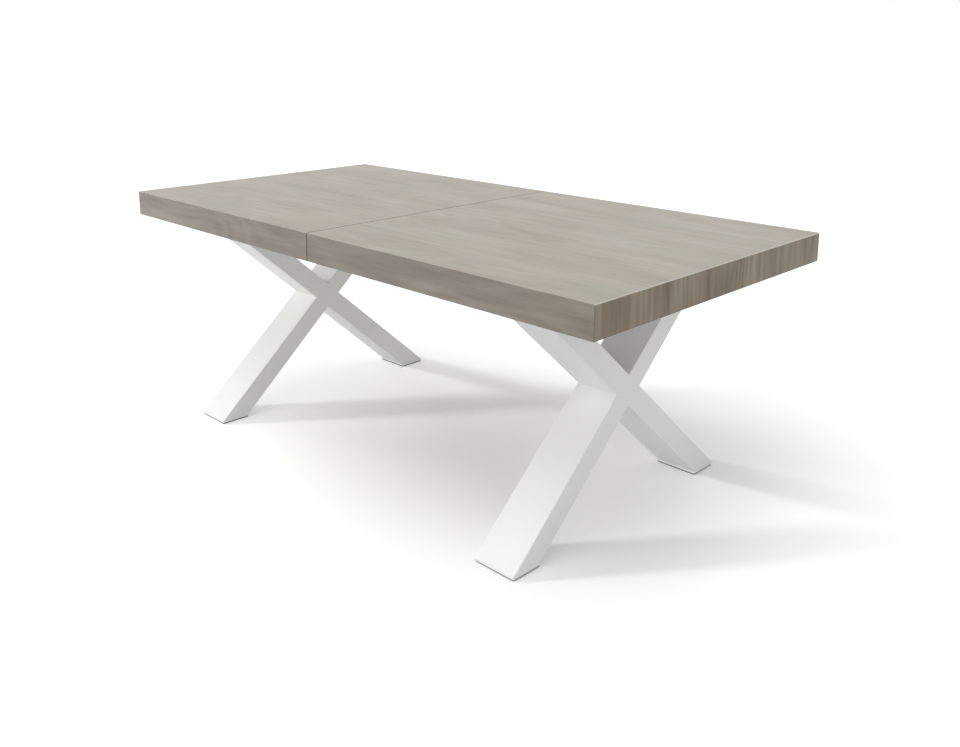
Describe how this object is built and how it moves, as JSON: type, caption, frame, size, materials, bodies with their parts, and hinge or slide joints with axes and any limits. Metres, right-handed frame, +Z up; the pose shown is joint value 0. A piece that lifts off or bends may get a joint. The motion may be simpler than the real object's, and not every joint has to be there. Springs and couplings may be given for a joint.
{
  "type": "extendable dining table",
  "caption": "Extendable dining table: a thick wood-grain top split across the middle, on crossed white steel frames, with slides and stored leaves inside.",
  "frame": {"origin": "on the floor under the middle of the closed table", "axes": "+X along the table's length, +Y across it to the back, +Z up"},
  "size_m": [2, 1, 0.76],
  "materials": {
    "laminate": "matt grey-beige wood-grain laminate",
    "white_coat": "satin white powder coat",
    "beech": "plain sanded beech",
    "aluminium": "anodised extrusion",
    "zinc_steel": "zinc plated",
    "dark_plastic": "matt moulded",
    "felt": "pressed felt"
  },
  "bodies": {
    "carriage": {"back_middle_rail": "aluminium", "front_middle_rail": "aluminium", "leaf_felts": "felt", "leaf_stops": "dark_plastic", "left_tray_strap": "zinc_steel", "lower_leaf": "laminate", "lower_leaf_dowels": "beech", "rail_end_caps": "dark_plastic", "right_tray_strap": "zinc_steel", "strap_screws": "zinc_steel", "upper_leaf": "laminate", "upper_leaf_dowels": "beech"},
    "left_half": {"left_back_apron": "laminate", "left_back_bearer": "beech", "left_back_foot_plate": "white_coat", "left_back_glide": "dark_plastic", "left_back_half_rail": "aluminium", "left_corner_blocks": "beech", "left_end_apron": "laminate", "left_front_apron": "laminate", "left_front_bearer": "beech", "left_front_foot_plate": "white_coat", "left_front_glide": "dark_plastic", "left_front_half_rail": "aluminium", "left_leg_bolts": "zinc_steel", "left_leg_lower_arm": "white_coat", "left_leg_plate": "white_coat", "left_leg_through_bar": "white_coat", "left_leg_upper_arm": "white_coat", "left_rail_liners": "dark_plastic", "left_rail_screws": "zinc_steel", "left_stop_pins": "zinc_steel", "left_top_panel": "laminate", "seam_dowels": "beech", "seam_magnets": "dark_plastic"},
    "right_half": {"right_back_apron": "laminate", "right_back_bearer": "beech", "right_back_foot_plate": "white_coat", "right_back_glide": "dark_plastic", "right_back_half_rail": "aluminium", "right_corner_blocks": "beech", "right_end_apron": "laminate", "right_front_apron": "laminate", "right_front_bearer": "beech", "right_front_foot_plate": "white_coat", "right_front_glide": "dark_plastic", "right_front_half_rail": "aluminium", "right_leg_bolts": "zinc_steel", "right_leg_lower_arm": "white_coat", "right_leg_plate": "white_coat", "right_leg_through_bar": "white_coat", "right_leg_upper_arm": "white_coat", "right_rail_liners": "dark_plastic", "right_rail_screws": "zinc_steel", "right_stop_pins": "zinc_steel", "right_top_panel": "laminate", "seam_strikes": "zinc_steel"}
  },
  "joints": [
    {"name": "left_slide", "type": "slide", "parent": "carriage", "child": "left_half", "axis": [-1, 0, 0], "range_m": [0, 0.5]},
    {"name": "right_slide", "type": "slide", "parent": "carriage", "child": "right_half", "axis": [1, 0, 0], "range_m": [0, 0.5]}
  ]
}
